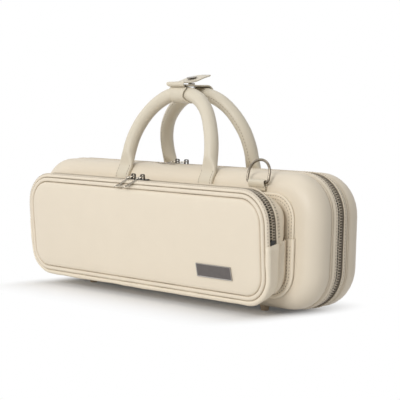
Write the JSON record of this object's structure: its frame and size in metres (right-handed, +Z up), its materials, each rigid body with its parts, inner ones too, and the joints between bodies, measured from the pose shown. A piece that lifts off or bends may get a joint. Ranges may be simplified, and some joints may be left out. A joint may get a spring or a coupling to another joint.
{
  "type": "flute case",
  "caption": "Long round-cornered zip case on small feet, with a zipped front pocket, arched carrying handles held by a snap wrap, and strap rings.",
  "frame": {"origin": "on the ground, at the middle of the whole object's bounding box seen from above", "axes": "+X runs along the case to the right end seen from the front pocket, +Y points from the pocket to the back, +Z is up"},
  "size_m": [0.4246, 0.1333, 0.2406],
  "materials": {
    "leatherette": "cream, fine pebble grain, satin",
    "piping": "cream, satin",
    "handle_leather": "cream, smooth satin",
    "panel_leather": "cream, padded, fine grain",
    "shell_board": "moulded",
    "plush": "short plush pile",
    "pocket_lining": "plain weave",
    "zipper_tape": "woven tape",
    "zipper_teeth": "pressed metal teeth",
    "cord": "soft cord",
    "foot_rubber": "moulded, light tan",
    "nickel": "polished nickel plate",
    "stop_black": "black",
    "brushed_plate": "dark brushed"
  },
  "bodies": {
    "back_shell": {"back_cover": "leatherette", "back_side_band": "leatherette", "back_welt": "piping", "back_board": "shell_board", "back_lining": "plush", "flute_tray": "plush", "main_tape_back": "zipper_tape", "main_teeth_back": "zipper_teeth", "hinge_strip": "leatherette", "back_feet": "foot_rubber", "rear_handle_tabs": "handle_leather", "rear_ring_tab": "handle_leather", "main_zipper_stops": "nickel"},
    "lid": {"lid_cover": "leatherette", "lid_side_band": "leatherette", "lid_welt": "piping", "lid_board": "shell_board", "lid_lining": "plush", "lid_pad": "plush", "main_tape_lid": "zipper_tape", "main_teeth_lid": "zipper_teeth", "lid_feet": "foot_rubber", "front_handle_tabs": "handle_leather", "front_ring_tab": "handle_leather", "pocket_flange": "leatherette", "pocket_gusset_upper": "leatherette", "pocket_gusset_lower": "leatherette", "pocket_tape_rear": "zipper_tape", "pocket_teeth_rear": "zipper_teeth", "pocket_back_lining": "pocket_lining", "pocket_zipper_stops": "stop_black"},
    "pocket_panel": {"pocket_panel_face": "panel_leather", "pocket_border": "leatherette", "pocket_front_band": "leatherette", "pocket_panel_board": "shell_board", "pocket_tape_front": "zipper_tape", "pocket_teeth_front": "zipper_teeth", "nameplate": "brushed_plate"},
    "front_handle_body": {"front_handle": "handle_leather", "front_handle_core": "cord", "wrap_front_tab": "handle_leather"},
    "wrap_flap_body": {"wrap_flap": "handle_leather", "snap_socket": "nickel", "snap_cap": "nickel"},
    "rear_handle_body": {"rear_handle": "handle_leather", "rear_handle_core": "cord", "wrap_rear_tab": "handle_leather", "snap_stud": "nickel"},
    "front_ring_body": {"front_d_ring": "nickel"},
    "rear_ring_body": {"rear_d_ring": "nickel"},
    "main_slider_left_body": {"main_slider_left": "nickel"},
    "main_slider_right_body": {"main_slider_right": "nickel"},
    "main_pull_left_body": {"main_pull_left": "nickel"},
    "main_pull_right_body": {"main_pull_right": "nickel"},
    "pocket_slider_left_body": {"pocket_slider_left": "nickel"},
    "pocket_slider_right_body": {"pocket_slider_right": "nickel"},
    "pocket_pull_left_body": {"pocket_pull_left": "nickel"},
    "pocket_pull_right_body": {"pocket_pull_right": "nickel"}
  },
  "joints": [
    {"name": "lid_hinge", "type": "hinge", "parent": "back_shell", "child": "lid", "pos_m": [0, 0.0229, 0.0045], "axis": [1, 0, 0], "range_deg": [0, 120], "deforming": ["hinge_strip"]},
    {"name": "pocket_tilt", "type": "hinge", "parent": "lid", "child": "pocket_panel", "pos_m": [0, -0.03693, 0.01181], "axis": [1, 0, 0], "range_deg": [0, 28], "deforming": ["pocket_gusset_lower"]},
    {"name": "front_handle_swing", "type": "hinge", "parent": "lid", "child": "front_handle_body", "pos_m": [0, -0.01188, 0.13828], "axis": [1, 0, 0], "range_deg": [0, 100]},
    {"name": "rear_handle_swing", "type": "hinge", "parent": "back_shell", "child": "rear_handle_body", "pos_m": [0, 0.05768, 0.13828], "axis": [-1, 0, 0], "range_deg": [0, 100]},
    {"name": "wrap_flap_lift", "type": "hinge", "parent": "front_handle_body", "child": "wrap_flap_body", "pos_m": [0, 0.00148, 0.22606], "axis": [1, 0, 0], "range_deg": [-4, 110]},
    {"name": "front_ring_swing", "type": "hinge", "parent": "lid", "child": "front_ring_body", "pos_m": [0.137, -0.0182, 0.131], "axis": [-1, 0, 0], "range_deg": [-95, 35]},
    {"name": "rear_ring_swing", "type": "hinge", "parent": "back_shell", "child": "rear_ring_body", "pos_m": [-0.137, 0.064, 0.131], "axis": [1, 0, 0], "range_deg": [0, 222]},
    {"name": "main_slider_left_run", "type": "slide", "parent": "back_shell", "child": "main_slider_left_body", "axis": [-1, 0, 0], "range_m": [0, 0.143]},
    {"name": "main_slider_right_run", "type": "slide", "parent": "back_shell", "child": "main_slider_right_body", "axis": [1, 0, 0], "range_m": [0, 0.166]},
    {"name": "pocket_slider_left_run", "type": "slide", "parent": "pocket_panel", "child": "pocket_slider_left_body", "axis": [-1, 0, 0], "range_m": [0, 0.127]},
    {"name": "pocket_slider_right_run", "type": "slide", "parent": "pocket_panel", "child": "pocket_slider_right_body", "axis": [1, 0, 0], "range_m": [0, 0.14]},
    {"name": "main_pull_left_lift", "type": "hinge", "parent": "main_slider_left_body", "child": "main_pull_left_body", "pos_m": [-0.0185, 0.0229, 0.14462], "axis": [-0.6428, 0.766, 0], "range_deg": [0, 100]},
    {"name": "main_pull_right_lift", "type": "hinge", "parent": "main_slider_right_body", "child": "main_pull_right_body", "pos_m": [-0.0045, 0.0229, 0.14462], "axis": [-0.6428, 0.766, 0], "range_deg": [0, 100]},
    {"name": "pocket_pull_left_lift", "type": "hinge", "parent": "pocket_slider_left_body", "child": "pocket_pull_left_body", "pos_m": [-0.0135, -0.04672, 0.12943], "axis": [-0.766, 0.6403, 0.056], "range_deg": [0, 100]},
    {"name": "pocket_pull_right_lift", "type": "hinge", "parent": "pocket_slider_right_body", "child": "pocket_pull_right_body", "pos_m": [0.0005, -0.04672, 0.12943], "axis": [-0.766, 0.6403, 0.056], "range_deg": [0, 100]}
  ]
}
